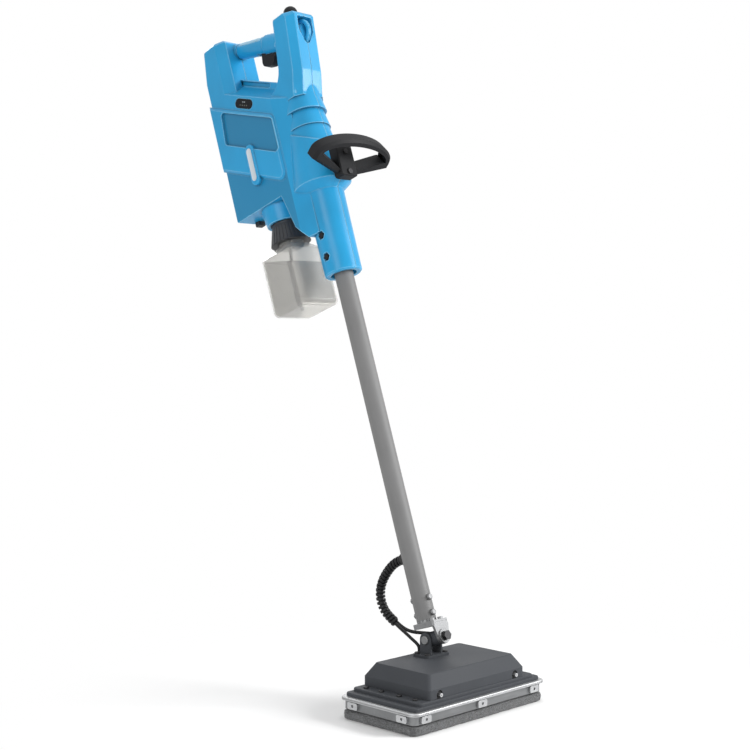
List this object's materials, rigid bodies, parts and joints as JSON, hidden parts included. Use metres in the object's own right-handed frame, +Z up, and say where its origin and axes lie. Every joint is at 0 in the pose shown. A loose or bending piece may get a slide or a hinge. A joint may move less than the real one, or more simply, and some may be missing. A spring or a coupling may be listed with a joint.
{
  "type": "floor scrubber",
  "caption": "Upright cordless floor scrubber: rectangular vibrating pad head on a swivel, tube pole, blue handle housing with spray bottle, trigger, button and loop handle.",
  "frame": {"origin": "centre of the pad's underside, on the floor", "axes": "+Z up from the floor, -Y to the front of the head and +Y to the rear grip, so the pole leans back along +Y; +X is the side away from the display window"},
  "size_m": [0.33, 0.6737, 1.2369],
  "materials": {
    "shell_blue": "satin sky-blue moulding",
    "pole_grey": "satin grey powder coat",
    "black_plastic": "fine matt texture",
    "dark_grey_plastic": "fine spark texture",
    "pale_plastic": "satin pale grey",
    "display_black": "polished window",
    "bottle_milky": "translucent blow-moulded",
    "aluminium": "satin plate",
    "steel": "zinc plated",
    "motor_steel": "black oxide",
    "rubber": "moulded rubber",
    "clear_hose": "grey soft hose",
    "board_green": "solder mask",
    "hook_black": "hook tape",
    "pad_grey": "open fibre pad"
  },
  "bodies": {
    "upper": {"housing_right": "shell_blue", "housing_left": "shell_blue", "housing_screws": "steel", "grip_inlay": "pale_plastic", "trigger_pin": "steel", "trigger_switch": "black_plastic", "button_bezel": "black_plastic", "button_switch": "black_plastic", "display_panel": "display_black", "control_board": "board_green", "battery_pack": "dark_grey_plastic", "water_pump": "black_plastic", "suction_hose": "clear_hose", "delivery_hose": "clear_hose", "inlet_fitting": "black_plastic", "bottle_seal": "rubber", "dip_tube": "pale_plastic", "rear_foot": "rubber", "loop_bracket": "black_plastic", "loop_bracket_bolts": "steel", "loop_pin": "steel", "loop_handle": "black_plastic", "pole": "pole_grey", "clamp_bolts": "steel", "clamp_nuts": "steel", "cable_grommet": "rubber", "pole_plug": "steel", "plug_bolts": "steel", "plug_nuts": "steel", "swivel_bracket": "steel", "flange_bolts": "steel", "spiral_wrap": "black_plastic", "line_bundle": "rubber"},
    "cross": {"cross_block": "dark_grey_plastic", "roll_bolt": "steel", "roll_washer": "steel"},
    "head": {"base_bracket": "dark_grey_plastic", "bracket_screws": "steel", "pitch_pin": "steel", "motor_cover": "dark_grey_plastic", "cover_grommets": "rubber", "base_plate": "dark_grey_plastic", "plate_screws": "steel", "vibration_plate": "aluminium", "pad_clips": "steel", "hook_layer": "hook_black", "scrub_pad": "pad_grey", "drive_motor": "motor_steel", "motor_saddle": "dark_grey_plastic", "shaft_bearings": "steel", "spray_nozzles": "black_plastic", "spray_hose": "clear_hose", "power_cable": "rubber", "water_hose": "rubber"},
    "trigger": {"trigger": "black_plastic"},
    "button": {"power_button": "black_plastic"},
    "bottle": {"bottle": "bottle_milky"},
    "cap": {"bottle_cap": "dark_grey_plastic"},
    "rotor": {"eccentric_shaft": "steel"}
  },
  "joints": [
    {"name": "head_roll", "type": "hinge", "parent": "upper", "child": "cross", "pos_m": [0, 0.031, 0.113], "axis": [0, -0.9466, 0.3223], "range_deg": [-30, 30], "deforming": ["spiral_wrap", "line_bundle", "water_hose", "power_cable"]},
    {"name": "head_pitch", "type": "hinge", "parent": "cross", "child": "head", "pos_m": [0, 0.031, 0.113], "axis": [1, 0, 0], "range_deg": [-33, 51], "deforming": ["spiral_wrap", "line_bundle", "water_hose", "power_cable"]},
    {"name": "trigger_pull", "type": "hinge", "parent": "upper", "child": "trigger", "pos_m": [0, 0.41871, 1.16844], "axis": [1, 0, 0], "range_deg": [0, 8], "stiffness_Nm_per_rad": 0.5, "springref_deg": -17.19},
    {"name": "button_press", "type": "slide", "parent": "upper", "child": "button", "axis": [0, -0.3223, -0.9466], "range_m": [0, 0.003], "stiffness_N_per_m": 500, "springref_m": -0.002},
    {"name": "bottle_drop", "type": "slide", "parent": "upper", "child": "bottle", "axis": [0, -0.3223, -0.9466], "range_m": [0, 0.008]},
    {"name": "cap_turn", "type": "hinge", "parent": "bottle", "child": "cap", "pos_m": [0, 0.39222, 0.82033], "axis": [0, 0.3223, 0.9466], "range_deg": [0, 720]},
    {"name": "rotor_spin", "type": "hinge", "parent": "head", "child": "rotor", "pos_m": [0, 0, 0.0655], "axis": [1, 0, 0], "continuous": true}
  ],
  "couplings": [
    {"joint": "bottle_drop", "follows": "cap_turn", "m_per_rad": 0.0006366}
  ]
}
